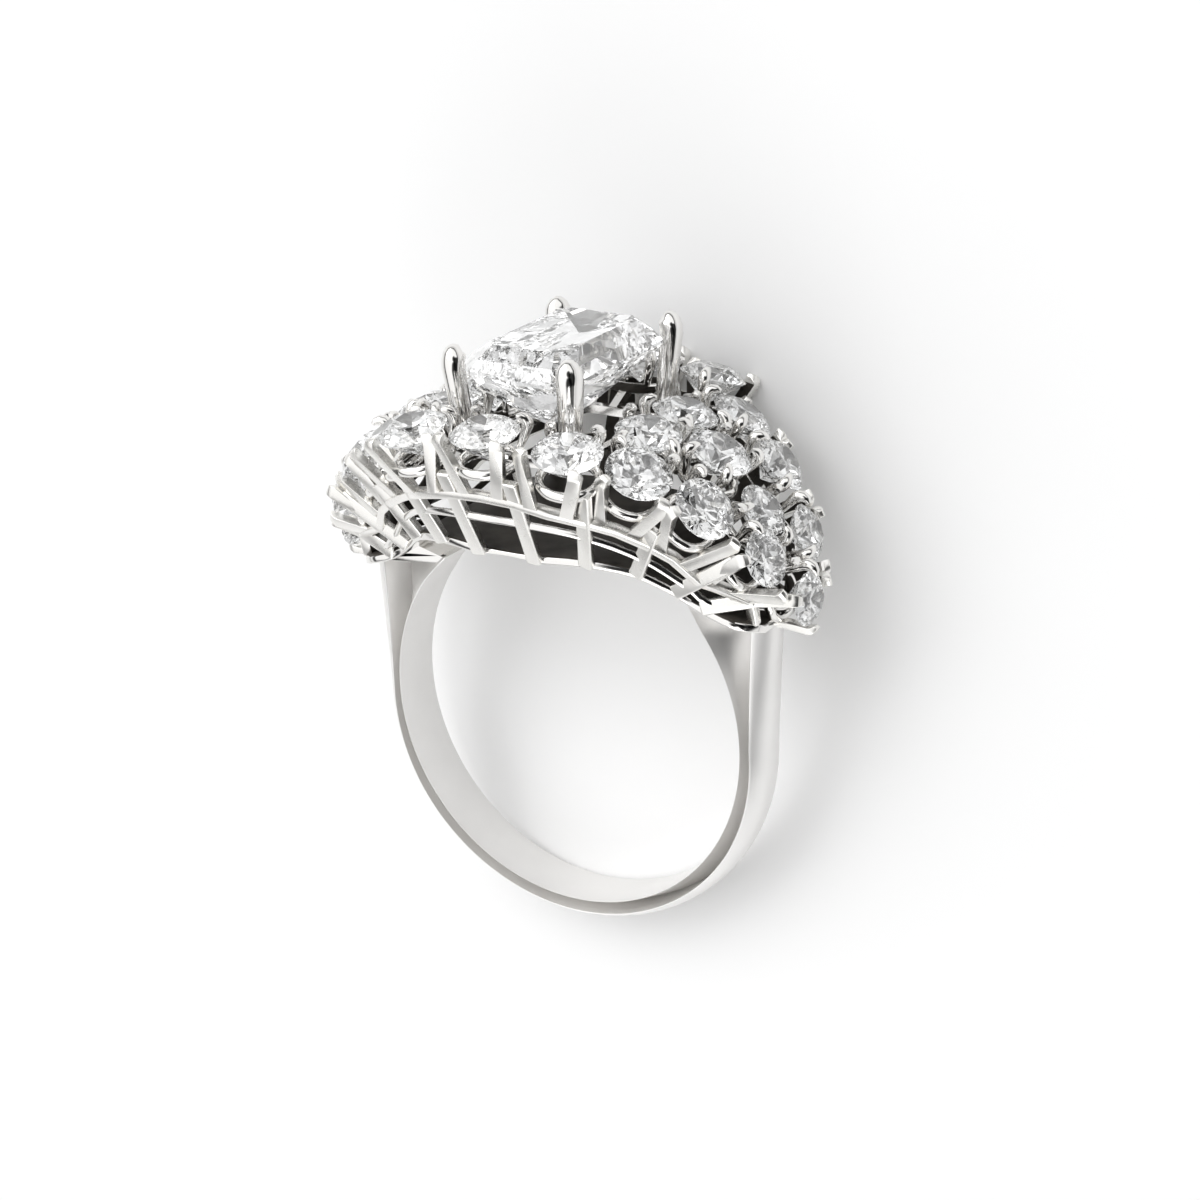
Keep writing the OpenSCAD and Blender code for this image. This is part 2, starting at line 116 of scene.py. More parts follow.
def resizeSection(place, axes, wide, thick):
    bpy.ops.transform.resize(
        value=(wide, thick, 1), orient_type="GLOBAL", orient_matrix=axes, orient_matrix_type="GLOBAL",
        center_override=place)


def drawWire(stations, sides=4):
    # a wire grown face by face; a station is its place, way, outward side, width and thickness
    place, way, out, wide, thick = stations[0]
    axes = axesFor(way, out)
    bpy.ops.mesh.select_all(action="DESELECT")
    if sides == 4:
        bpy.ops.mesh.primitive_plane_add(size=1, location=place, rotation=axes.to_euler())
    else:
        bpy.ops.mesh.primitive_circle_add(
            vertices=sides, radius=0.5, fill_type="NGON", location=place, rotation=axes.to_euler())
    resizeSection(place, axes, wide, thick)
    for newPlace, way, out, newWide, newThick in stations[1:]:
        bpy.ops.mesh.extrude_region_move(TRANSFORM_OT_translate={"value": newPlace - place})
        newAxes = axesFor(way, out)
        spin, angle = (newAxes @ axes.transposed()).to_quaternion().to_axis_angle()
        if angle > 0.0001:
            first = spin.orthogonal().normalized()
            about = Matrix((first, spin.cross(first), spin)).transposed()
            bpy.ops.transform.rotate(
                value=angle, orient_axis="Z", orient_type="GLOBAL", orient_matrix=about,
                orient_matrix_type="GLOBAL", constraint_axis=(False, False, True), center_override=newPlace)
        resizeSection(newPlace, newAxes, newWide / wide, newThick / thick)
        place, axes, wide, thick = newPlace, newAxes, newWide, newThick


def drawCourse(points, outs, wide, thick, sides=4):
    # a rail through a course of points
    stations = []
    last = len(points) - 1
    for i, place in enumerate(points):
        way = points[min(i + 1, last)] - points[max(i - 1, 0)]
        stations.append((place, way, outs[i], wide, thick))
    drawWire(stations, sides)


def roundCourse(points, steps=4):
    # points between the given ones on a smooth curve
    course = []
    last = len(points) - 1
    for i in range(last):
        a, b = points[i], points[i + 1]
        before, after = points[max(i - 1, 0)], points[min(i + 2, last)]
        leave, arrive = (b - before) / 2, (after - a) / 2
        for k in range(steps):
            t = k / steps
            course.append(a * (2 * t ** 3 - 3 * t ** 2 + 1) + leave * (t ** 3 - 2 * t ** 2 + t)
                          + b * (3 * t ** 2 - 2 * t ** 3) + arrive * (t ** 3 - t ** 2))
    return course + [points[-1]]


def useModifier(piece, kind, **values):
    selectOnly(piece)
    bpy.ops.object.modifier_add(type=kind)
    modifier = piece.modifiers[-1]
    for key, value in values.items():
        setattr(modifier, key, value)
    bpy.ops.object.modifier_apply(modifier=modifier.name)


def mirrorPiece(piece, acrossX, acrossZ):
    if acrossX or acrossZ:
        useModifier(piece, "MIRROR", use_axis=(acrossX, False, acrossZ), use_mirror_merge=False)


def softenEdges(piece, width, segments=2, angle=30):
    useModifier(piece, "BEVEL", width=width, segments=segments, limit_method="ANGLE",
                angle_limit=math.radians(angle), use_clamp_overlap=True)


def joinPieces(name, pieces):
    selectOnly(*pieces)
    if len(pieces) > 1:
        bpy.ops.object.join()
    piece = bpy.context.object
    piece.name = piece.data.name = name
    return piece


# where the inward faces that get painted shade begin
inside = {"belowGirdle": 0.4, "towardMiddle": 0.45, "endsFrom": 8.5, "towardEnds": 0.6, "plateTop": 0.6}


def facesInward(piece):
    # the faces turned to the hollow of the gallery, all below the stones' girdles; these get painted shade
    found = []
    for face in piece.data.polygons:
        middle, normal = face.center, face.normal
        inOneQuarter = Vector((abs(middle.x), middle.y, abs(middle.z)))
        seat = min(seats.values(), key=lambda seat: (inOneQuarter - seat.place).length)
        if (inOneQuarter - seat.place).dot(seat.up) > -inside["belowGirdle"]:
            continue
        atEnd = abs(middle.x) > inside["endsFrom"]
        if normal.z * middle.z < -inside["towardMiddle"] * abs(middle.z) or (
                atEnd and normal.x * middle.x < -inside["towardEnds"] * abs(middle.x)):
            found.append(face.index)
    return found


def finishPiece(piece, material, smoothAngle=35, flat=False, paintedShadeFaces=()):
    # normals out, laid down, in metres, with its object at the origin; the inner faces get painted shade
    selectOnly(piece)
    bpy.ops.object.mode_set(mode="EDIT")
    bpy.ops.mesh.select_all(action="SELECT")
    bpy.ops.mesh.normals_make_consistent(inside=False)
    bpy.ops.object.mode_set(mode="OBJECT")
    piece.matrix_world = layDown @ piece.matrix_world
    bpy.ops.object.transform_apply(location=True, rotation=True, scale=True)
    if flat:
        bpy.ops.object.shade_flat()
    else:
        bpy.ops.object.shade_smooth_by_angle(angle=math.radians(smoothAngle))
    piece.data.materials.clear()
    piece.data.materials.append(material)
    if paintedShadeFaces:
        piece.data.materials.append(paintedShadeMetal)
    for i in paintedShadeFaces:
        piece.data.polygons[i].material_index = 1
    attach(piece, "root")
    return piece


# Materials


def newMaterial(name):
    material = bpy.data.materials.new(name)
    material.use_nodes = True
    nodes = material.node_tree.nodes
    return material, nodes, material.node_tree.links, nodes["Principled BSDF"]


metalGrain = {"cloudDetail": 3, "tintFrom": 0.3, "tintTo": 0.7, "markDetail": 2, "markDepth": 0.00002}


def metalMaterial(name, look):
    # white gold: a faint cloudiness in colour and polish, and fine wheel marks in the bump
    material, nodes, links, shader = newMaterial(name)
    shader.inputs["Metallic"].default_value = look["metallic"]
    shader.inputs["Specular IOR Level"].default_value = look["specular"]
    coords = nodes.new("ShaderNodeTexCoord")
    cloud = nodes.new("ShaderNodeTexNoise")
    cloud.inputs["Scale"].default_value = look["cloudScale"]
    cloud.inputs["Detail"].default_value = metalGrain["cloudDetail"]
    links.new(coords.outputs["Object"], cloud.inputs["Vector"])
    tint = nodes.new("ShaderNodeValToRGB")
    tint.color_ramp.elements[0].position = metalGrain["tintFrom"]
    tint.color_ramp.elements[0].color = (*look["deepColour"], 1)
    tint.color_ramp.elements[1].position = metalGrain["tintTo"]
    tint.color_ramp.elements[1].color = (*look["colour"], 1)
    links.new(cloud.outputs["Fac"], tint.inputs["Fac"])
    links.new(tint.outputs["Color"], shader.inputs["Base Color"])
    polish = nodes.new("ShaderNodeMapRange")
    polish.inputs["To Min"].default_value = look["roughness"][0]
    polish.inputs["To Max"].default_value = look["roughness"][1]
    links.new(cloud.outputs["Fac"], polish.inputs["Value"])
    links.new(polish.outputs["Result"], shader.inputs["Roughness"])
    stretch = nodes.new("ShaderNodeMapping")
    stretch.inputs["Scale"].default_value = look["markStretch"]
    links.new(coords.outputs["Object"], stretch.inputs["Vector"])
    marks = nodes.new("ShaderNodeTexNoise")
    marks.inputs["Scale"].default_value = look["markScale"]
    marks.inputs["Detail"].default_value = metalGrain["markDetail"]
    links.new(stretch.outputs["Vector"], marks.inputs["Vector"])
    bump = nodes.new("ShaderNodeBump")
    bump.inputs["Strength"].default_value = look["markStrength"]
    bump.inputs["Distance"].default_value = metalGrain["markDepth"]
    links.new(marks.outputs["Fac"], bump.inputs["Height"])
    links.new(bump.outputs["Normal"], shader.inputs["Normal"])
    return material


polishedLook = {
    "metallic": 1, "specular": 0.5,
    "colour": (0.9, 0.888, 0.868), "deepColour": (0.83, 0.818, 0.798), "roughness": (0.06, 0.13),
    "cloudScale": 260, "markScale": 2600, "markStretch": (1, 1, 1), "markStrength": 0.12,
}
shankLook = {
    "metallic": 1, "specular": 0.5,
    "colour": (0.93, 0.922, 0.91), "deepColour": (0.87, 0.862, 0.85), "roughness": (0.4, 0.48),
    "cloudScale": 260, "markScale": 2600, "markStretch": (1, 1, 1), "markStrength": 0.12,
}
satinLook = {
    "metallic": 1, "specular": 0.5,
    "colour": (0.93, 0.918, 0.892), "deepColour": (0.86, 0.848, 0.818), "roughness": (0.2, 0.34),
    "cloudScale": 500, "markScale": 4200, "markStretch": (1, 0.35, 1), "markStrength": 0.25,
}
# the inside of the gallery: rough, and dark with painted shade
paintedShadeLook = {
    "metallic": 0, "specular": 0.12,
    "colour": (0.085, 0.077, 0.068), "deepColour": (0.025, 0.022, 0.018), "roughness": (0.35, 0.55),
    "cloudScale": 900, "markScale": 3000, "markStretch": (1, 1, 1), "markStrength": 0.3,
}
polishedMetal = metalMaterial("polishedMetal", polishedLook)
shankMetal = metalMaterial("shankMetal", shankLook)
satinMetal = metalMaterial("satinMetal", satinLook)
paintedShadeMetal = metalMaterial("paintedShadeMetal", paintedShadeLook)


stoneHaze = {"detail": 1, "tintFrom": 0.35, "tintTo": 0.65}


def stoneMaterial(name, look):
    # clear, with a change of tint through the stone: the faintest for the centre stone, a grey one of painted
    # shade for the small stones
    material, nodes, links, shader = newMaterial(name)
    coords = nodes.new("ShaderNodeTexCoord")
    haze = nodes.new("ShaderNodeTexNoise")
    haze.inputs["Scale"].default_value = look["hazeScale"]
    haze.inputs["Detail"].default_value = stoneHaze["detail"]
    links.new(coords.outputs["Object"], haze.inputs["Vector"])
    tint = nodes.new("ShaderNodeValToRGB")
    tint.color_ramp.elements[0].position = stoneHaze["tintFrom"]
    tint.color_ramp.elements[0].color = (*look["coolTint"], 1)
    tint.color_ramp.elements[1].position = stoneHaze["tintTo"]
    tint.color_ramp.elements[1].color = (*look["clearTint"], 1)
    links.new(haze.outputs["Fac"], tint.inputs["Fac"])
    links.new(tint.outputs["Color"], shader.inputs["Base Color"])
    shader.inputs["Transmission Weight"].default_value = 1
    shader.inputs["IOR"].default_value = look["ior"]
    shader.inputs["Roughness"].default_value = look["roughness"]
    return material


centreLook = {"coolTint": (0.985, 0.988, 0.992), "clearTint": (1, 1, 1), "hazeScale": 700, "ior": 2.417,
              "roughness": 0.0}
# the small stones are tinted grey: painted shade that keeps them darker than the centre stone
roundPaintedShadeLook = {"coolTint": (0.84, 0.85, 0.86), "clearTint": (0.93, 0.93, 0.92), "hazeScale": 900, "ior": 2.417,
             "roughness": 0.0}
centreDiamond = stoneMaterial("centreDiamond", centreLook)
roundDiamondPaintedShade = stoneMaterial("roundDiamondPaintedShade", roundPaintedShadeLook)
print("materials ready")

# Shank: a domed band that widens up each side into a shoulder

shankSpec = {
    "bore": 8.6, "halfWidth": 1.35, "thickness": 1.0, "edgeThickness": 0.6, "armX": 9.57, "armLean": 0.08,
    "shoulderHalfWidth": 1.1, "shoulderY": 5.9, "shoulderDrop": 0.85, "domePower": 2.4,
    "lastTurn": 137, "stations": 72, "domeSteps": 16, "edgeRound": 0.12,
    "riseFrom": 50, "thickenFrom": 40, "boreSides": 256, "boreDepth": 16, "endNarrowing": 0.76,
    "outerNarrowing": 0.1, "webHalfWidth": 0.9, "webRound": 0.05,
    "webOutline": [(5.4, 6), (9.2, 5.6), (9.1, 6.05), (7.6, 6.6), (6.6, 7.3), (5.4, 8.1)],
}


def ease(k):
    k = min(max(k, 0), 1)
    return k * k * (3 - 2 * k)


def mix(a, b, k):
    return a * (1 - k) + b * k


def shankSection(turn):
    spec = shankSpec
    side = -1 if turn < 0 else 1
    a = abs(turn)
    reach = spec["lastTurn"]
    rise = ease((a - spec["riseFrom"]) / (reach - spec["riseFrom"]))
    high = max(0, (a - 90) / (reach - 90))
    onBore = Vector((spec["bore"] * math.sin(math.radians(a)), -spec["bore"] * math.cos(math.radians(a)), 0))
    wayTurn = math.radians(min(a, 90))
    way = Vector((math.sin(wayTurn), -math.cos(wayTurn), 0))
    if a < 90:
        thicken = ease((a - spec["thickenFrom"]) / (90 - spec["thickenFrom"]))
        out = onBore + way * mix(spec["thickness"], spec["armX"] - spec["bore"], thicken)
    else:
        armY = spec["shoulderY"] * high
        out = Vector((spec["armX"] + spec["armLean"] * armY, armY, 0))
    halfIn = mix(spec["halfWidth"], spec["halfWidth"] * spec["endNarrowing"], ease(4 * high - 3))
    halfOut = mix(spec["halfWidth"] - spec["outerNarrowing"], spec["shoulderHalfWidth"], high)
    drop = mix(spec["thickness"] - spec["edgeThickness"], spec["shoulderDrop"], rise)
    points = [turned(onBore + Vector((0, 0, halfIn * k)), side) for k in (1, -1)]
    for step in range(spec["domeSteps"] + 1):
        share = 2 * step / spec["domeSteps"] - 1
        dome = out - way * drop * abs(share) ** spec["domePower"] + Vector((0, 0, halfOut * share))
        points.append(turned(dome, side))
    return points


def growSection(piece, before, after):
    bpy.ops.mesh.extrude_region_move()
    shape = bmesh.from_edit_mesh(piece.data)
    for corner in [v for v in shape.verts if v.select]:
        i = min(range(len(before)), key=lambda k: (corner.co - before[k]).length)
        corner.co = after[i]
    bmesh.update_edit_mesh(piece.data)


def makeShank():
    piece = startPiece("shank")
    count = shankSpec["stations"]
    sections = [shankSection(shankSpec["lastTurn"] * i / count) for i in range(-count, count + 1)]
    bpy.ops.mesh.primitive_circle_add(vertices=len(sections[0]), radius=1, fill_type="NGON")
    shape = bmesh.from_edit_mesh(piece.data)
    for corner, place in zip(list(shape.verts), sections[0]):
        corner.co = place
    bmesh.update_edit_mesh(piece.data)
    for before, after in zip(sections, sections[1:]):
        growSection(piece, before, after)
    softenEdges(piece, shankSpec["edgeRound"], 3, 40)
    return finishPiece(piece, shankMetal, 50)


def boreOut(piece):
    selectOnly()
    bpy.ops.mesh.primitive_cylinder_add(vertices=shankSpec["boreSides"], radius=shankSpec["bore"],
                                        depth=shankSpec["boreDepth"])
    bore = bpy.context.object
    useModifier(piece, "BOOLEAN", operation="DIFFERENCE", object=bore, solver="EXACT")
    bpy.data.objects.remove(bore)


def makeArmWebs():
    # the webs that close the top of each arm to the underplate
    outline = shankSpec["webOutline"]
    piece = startPiece("arm_webs")
    bpy.ops.mesh.primitive_circle_add(vertices=len(outline), radius=1, fill_type="NGON")
    shape = bmesh.from_edit_mesh(piece.data)
    half = shankSpec["webHalfWidth"]
    for corner, (x, y) in zip(list(shape.verts), outline):
        corner.co = Vector((x, y, -half))
    bmesh.update_edit_mesh(piece.data)
    bpy.ops.mesh.extrude_region_move(TRANSFORM_OT_translate={"value": (0, 0, 2 * half)})
    selectOnly(piece)
    boreOut(piece)
    mirrorPiece(piece, True, False)
    softenEdges(piece, shankSpec["webRound"], 2, 40)
    return finishPiece(piece, polishedMetal)


shank = makeShank()
makeArmWebs()
print("shank ready")

# Gallery: posts, rails and the plate over the finger

gallerySpec = {
    "wire": 0.38, "postWidth": 0.66, "basketRailWidth": 0.52, "thinRail": (0.24, 0.3), "plateThickness": 0.4,
    "thinRailEnd": (10.4, 6.4, 0), "strutFoot": (9.6, 6, 1.5),
    "postRound": 0.09, "railRound": 0.08, "thinRailRound": 0.07, "plateRound": 0.1,
}
# foot of each rim basket, and the spread of its flat claws
basketFeet = [((0, 11.65, 6.5), 1.6), ((3.02, 11.3, 6.3), 1.5), ((5.13, 10.4, 4.7), 1.4),
              ((7.1, 9.17, 3.6), 1.2), ((8.45, 7.75, 2.4), 1.0)]
# head and heel of each post, and where the basket rail and the thin rail cross it
posts = [
    ((1.6, 12.55, 6.85), (1.35, 8.5, 4.92), 0.25, 0.52),
    ((4.55, 12.3, 6.1), (3.5, 8.5, 4.42), 0.38, 0.6),
    ((6.75, 10.6, 4.38), (5.35, 8.15, 3.6), 0.33, 0.65),
    ((9.7, 9.2, 3.05), (6.6, 7.3, 2.7), 0.6, 0.8),
    ((10.7, 7.4, 1.45), (7.6, 6.65, 2.35), 0.35, 0.8),
]
# the plate's half: x, height and half width
plateRows = [(1.2, 8.6, 4.95), (3.45, 8.6, 4.5), (5.3, 8.2, 3.7), (6.6, 7.3, 2.8), (7.6, 6.6, 2.45),
             (9.1, 6.05, 2.25), (10.0, 5.75, 1.3)]


def onPost(i, share):
    head, heel = Vector(posts[i][0]), Vector(posts[i][1])
    return head.lerp(heel, share)


def drawBar(a, b, out, wide, thick):
    drawWire([(a, b - a, out, wide, thick), (b, b - a, out, wide, thick)])


def makePosts():
    piece = startPiece("posts")
    for i in range(len(posts)):
        out = seats[rimNames[i]].out
        head, heel = Vector(posts[i][0]), Vector(posts[i][1])
        drawBar(head, heel, out, gallerySpec["postWidth"], gallerySpec["wire"])
    drawBar(onPost(4, posts[4][2]), Vector(gallerySpec["strutFoot"]), seats["rim_4"].out,
            gallerySpec["basketRailWidth"], gallerySpec["wire"])
    mirrorPiece(piece, True, True)
    softenEdges(piece, gallerySpec["postRound"], 3)
    # the inward faces get painted shade
    return finishPiece(piece, satinMetal, paintedShadeFaces=facesInward(piece))


def makeBasketRail():
    piece = startPiece("basket_rail")
    right, ups = [], []
    for i in range(len(posts)):
        up = seats[rimNames[i]].up
        right += [Vector(basketFeet[i][0]), onPost(i, posts[i][2])]
        ups += [up, (up + seats[rimNames[i + 1]].up).normalized()]
    course = [turned(p, -1) for p in right[:0:-1]] + right
    sides = [turned(p, -1) for p in ups[:0:-1]] + ups
    drawCourse(course, sides, gallerySpec["basketRailWidth"], gallerySpec["wire"])
    mirrorPiece(piece, False, True)
    softenEdges(piece, gallerySpec["railRound"], 2, 40)
    # the inward faces get painted shade
    return finishPiece(piece, satinMetal, paintedShadeFaces=facesInward(piece))


def makeThinRail():
    piece = startPiece("thin_rail")
    right = [onPost(i, posts[i][3]) for i in range(len(posts))]
    right = [Vector((0, right[0].y, right[0].z))] + right + [Vector(gallerySpec["thinRailEnd"])]
    course = roundCourse([turned(p, -1) for p in right[:0:-1]] + right, 4)
    wide, high = gallerySpec["thinRail"]
    drawCourse(course, [Vector((0, 1, 0))] * len(course), wide, high)
    mirrorPiece(piece, False, True)
    softenEdges(piece, gallerySpec["thinRailRound"], 2, 40)
    # the inward faces get painted shade
    return finishPiece(piece, polishedMetal, paintedShadeFaces=facesInward(piece))


def makePlate():
    piece = startPiece("underplate")
    rows = [Vector(row) for row in plateRows]
    rows = roundCourse([Vector((-row.x, row.y, row.z)) for row in rows[::-1]] + rows, 3)
    drawWire([(Vector((row.x, row.y, 0)), Vector((1, 0, 0)), Vector((0, 1, 0)), 2 * row.z,
               gallerySpec["plateThickness"]) for row in rows])
    softenEdges(piece, gallerySpec["plateRound"], 3, 50)
    boreOut(piece)
    # the plate's upper faces, under the stones, get painted shade
    paintedShadeFaces = [face.index for face in piece.data.polygons if face.normal.y > inside["plateTop"]]
    finishPiece(piece, polishedMetal, 50, paintedShadeFaces=paintedShadeFaces)
    useModifier(piece, "WEIGHTED_NORMAL", mode="FACE_AREA", keep_sharp=True)
    return piece


makePosts()
makeBasketRail()
makeThinRail()
makePlate()
print("gallery ready")

# Baskets: seat rings, claws and ties

basketSpec = {
    "seatDepth": 1.3, "seatShare": 0.42, "seatHalfWidth": 0.19, "seatRise": 1.25, "seatSegments": (48, 12),
    "ribbon": (0.56, 0.4), "squareness": 2.0, "gap": 0.06, "claw": 0.52, "clawSides": 12,
    "clawFootRise": 0.08, "sideClawAt": 0.3, "lowClaw": 0.3, "lowClawFoot": (9.9, 5.65, 0), "clawRound": 0.1,
    "tieReach": 3.2, "tieGap": 0.15, "tieOverlap": 0.1, "tieRound": 0.08,
    # a claw's stations over the edge of the stone: lean in, rise, bend, share of its width and thickness
    "roundSteps": [(0, -0.08, 0, 1, 1), (0, 0.14, 0.12, 0.97, 1), (0.09, 0.31, 0.7, 0.86, 0.9),
                   (0.26, 0.42, 1.6, 0.66, 0.66), (0.42, 0.43, 5, 0.36, 0.34)],
    "flatSteps": [(0, 0, 0, 1, 1), (0.02, 0.12, 0.15, 0.95, 0.98), (0.07, 0.22, 0.6, 0.84, 0.88),
                  (0.15, 0.29, 1.4, 0.68, 0.7), (0.24, 0.31, 3, 0.46, 0.42)],
}


def seatPlace(seat):
    return seat.place - seat.up * basketSpec["seatDepth"]


def clawHead(seat, turn, wide, thick, flat=False, squareness=0.0):
    # from beside the girdle over the edge of the crown
    out = seat.heading(turn)
    face = (out + seat.out * squareness).normalized()
    corner = out.cross(face).length * wide / 2
    reach = seat.wide / 2 + basketSpec["gap"] + thick / 2 + corner
    stations = []
    for lean, rise, bend, wideShare, thickShare in basketSpec["flatSteps" if flat else "roundSteps"]:
        place = seat.place + out * (reach - lean) + seat.up * rise
        stations.append((place, seat.up - face * bend, face, wide * wideShare, thick * thickShare))
    return stations


def drawRoundClaw(seat, turn):
    spec = basketSpec
    claw, out = spec["claw"], seat.heading(turn)
    foot = seatPlace(seat) + out * seat.wide * spec["seatShare"] + seat.up * spec["clawFootRise"]
    start = (foot, seat.up, out, claw / 2, claw / 2)
    drawWire([start] + clawHead(seat, turn, claw, claw), spec["clawSides"])


def drawFlatClaw(i, side):
    seat = seats[rimNames[i]]
    if i == 0:
        along = Vector((1, 0, 0))
    else:
        along = (seats[rimNames[i + 1]].place - seats[rimNames[i - 1]].place).normalized()
    middle, spread = Vector(basketFeet[i][0]), basketFeet[i][1]
    out = (middle - seat.place).cross(along).normalized()
    fall = along.cross(out)
    foot = middle + along * side * spread / 2
    wide, thick = basketSpec["ribbon"]
    turn = seat.claws[0 if side < 0 else 1]
    head = clawHead(seat, turn, wide, thick, True, basketSpec["squareness"])
    drawWire([(foot, -fall, out, wide, thick)] + head)


def inGroups(name, draw):
    # wires of one quarter, of the middle of the long side and of the ends, each mirrored to its places
    groups = [(["rim_1", "rim_2", "rim_3", "rim_4", "dome_1"], True, True), (["rim_0"], False, True),
              (["rim_5", "dome_2", "dome_3"], True, False)]
    made = []
    for names, acrossX, acrossZ in groups:
        piece = startPiece(name)
        for stone in names:
            draw(seats[stone])
        selectOnly(piece)
        if len(piece.data.vertices) == 0:
            bpy.data.objects.remove(piece)
            continue
        mirrorPiece(piece, acrossX, acrossZ)
        made.append(piece)
    return joinPieces(name, made)


def drawSeatRing(seat):
    # a flat band, turned up from a ring of four-sided wire
    place = seatPlace(seat)
    axes = Matrix((seat.out, seat.along, seat.up)).transposed()
    around, section = basketSpec["seatSegments"]
    bpy.ops.mesh.select_all(action="DESELECT")
    bpy.ops.mesh.primitive_torus_add(
        location=place, rotation=axes.to_euler(), major_segments=around, minor_segments=section,
        major_radius=seat.wide * basketSpec["seatShare"], minor_radius=basketSpec["seatHalfWidth"])
    bpy.ops.transform.resize(
        value=(1, 1, basketSpec["seatRise"]), orient_type="GLOBAL", orient_matrix=axes,
        orient_matrix_type="GLOBAL", center_override=place)


def drawFlatClaws(seat):
    if seat.name == "rim_5":
        wide, thick = basketSpec["ribbon"]
        for sideZ in (1, -1):
            foot = turned(onPost(4, basketSpec["sideClawAt"]), 1, sideZ)
            start = (foot, seat.place - foot, Vector((0, 0, sideZ)), wide, thick)
            drawWire([start] + clawHead(seat, seat.claws[0 if sideZ > 0 else 2], wide, thick, True))
        low = basketSpec["lowClaw"]
        start = (Vector(basketSpec["lowClawFoot"]), Vector((1, 0, 0)), Vector((0, -1, 0)), wide, low)
        drawWire([start] + clawHead(seat, seat.claws[1], wide, low, True))
    elif seat.name in rimStones:
        for side in (-1, 1):
            drawFlatClaw(rimNames.index(seat.name), side)


def drawRoundClaws(seat):
    turns = seat.claws
    if seat.name == "rim_5":
        turns = seat.claws[3:]
    elif seat.name in rimStones:
        turns = seat.claws[2:]
    for turn in turns:
        drawRoundClaw(seat, turn)


def allSeats():
    # every round stone: its name, its seat and its sides in x and z
    places = []
    for name, seat in seats.items():
        for sideWord, sideX, sideZ in (("front_right", 1, 1), ("front_left", -1, 1), ("back_right", 1, -1),
                                       ("back_left", -1, -1)):
            if (seat.place.x == 0 and sideX < 0) or (seat.place.z == 0 and sideZ < 0):
                continue
            word = sideWord
            if seat.place.x == 0:
                word = sideWord.split("_")[0]
            if seat.place.z == 0:
                word = sideWord.split("_")[1]
            places.append((name + "_" + word, seat, sideX, sideZ))
    return places


def makeTies():
    piece = startPiece("ties")
    spec = basketSpec
    places = allSeats()
    wire = gallerySpec["wire"]
    for i, (_, a, ax, az) in enumerate(places):
        for _, b, bx, bz in places[i + 1:]:
            apart = (turned(a.place, ax, az) - turned(b.place, bx, bz)).length
            if b.name in rimStones or apart >= spec["tieReach"]:
                continue
            low, high = turned(seatPlace(a), ax, az), turned(seatPlace(b), bx, bz)
            reachA, reachB = a.wide * spec["seatShare"], b.wide * spec["seatShare"]
            if (low - high).length > reachA + reachB + spec["tieGap"]:
                way = (high - low).normalized()
                start = low + way * (reachA - spec["tieOverlap"])
                end = high - way * (reachB - spec["tieOverlap"])
                drawBar(start, end, Vector((0, 1, 0)), wire, wire)
    softenEdges(piece, spec["tieRound"])
    # the ties, deep between the stones, are dark all over with painted shade
    return finishPiece(piece, paintedShadeMetal)


# the inward faces of seat rings and flat claws get painted shade
seatRings = inGroups("seat_rings", drawSeatRing)
finishPiece(seatRings, polishedMetal, paintedShadeFaces=facesInward(seatRings))
flatClaws = inGroups("flat_claws", drawFlatClaws)
softenEdges(flatClaws, basketSpec["clawRound"], 3, 25)
finishPiece(flatClaws, satinMetal, paintedShadeFaces=facesInward(flatClaws))
finishPiece(inGroups("round_claws", drawRoundClaws), polishedMetal, 60)
makeTies()
print("baskets ready")

# The centre stone's basket: four heavy claws on a low square frame

centreSpec = {
    "width": 5.8, "length": 8.2, "girdleY": 15.9, "cornerCut": 0.95, "claw": (1.15, 0.98), "gap": 0.06,
    "clawSides": 24, "clawFootY": 12.1, "clawFootIn": 0.35, "clawTop": 0.95, "clawBendRise": 0.1,
    # the stem's stations: share of its height to the girdle, shares of its width and thickness
    "stemSteps": [(0, 0.72, 0.8), (0.6, 0.9, 0.92)],
    # and above it: below the top, lean in, bend, shares of its width and thickness
    "headSteps": [(0.52, 0.01, 0.1, 1, 1), (0.3, 0.05, 0.25, 0.93, 0.97), (0.12, 0.11, 0.5, 0.74, 0.86),
                  (0.03, 0.17, 1, 0.5, 0.6), (0, 0.22, 2, 0.22, 0.26)],
    "frameRise": 0.25, "frameOut": 0.03, "tieShare": 0.4,
}


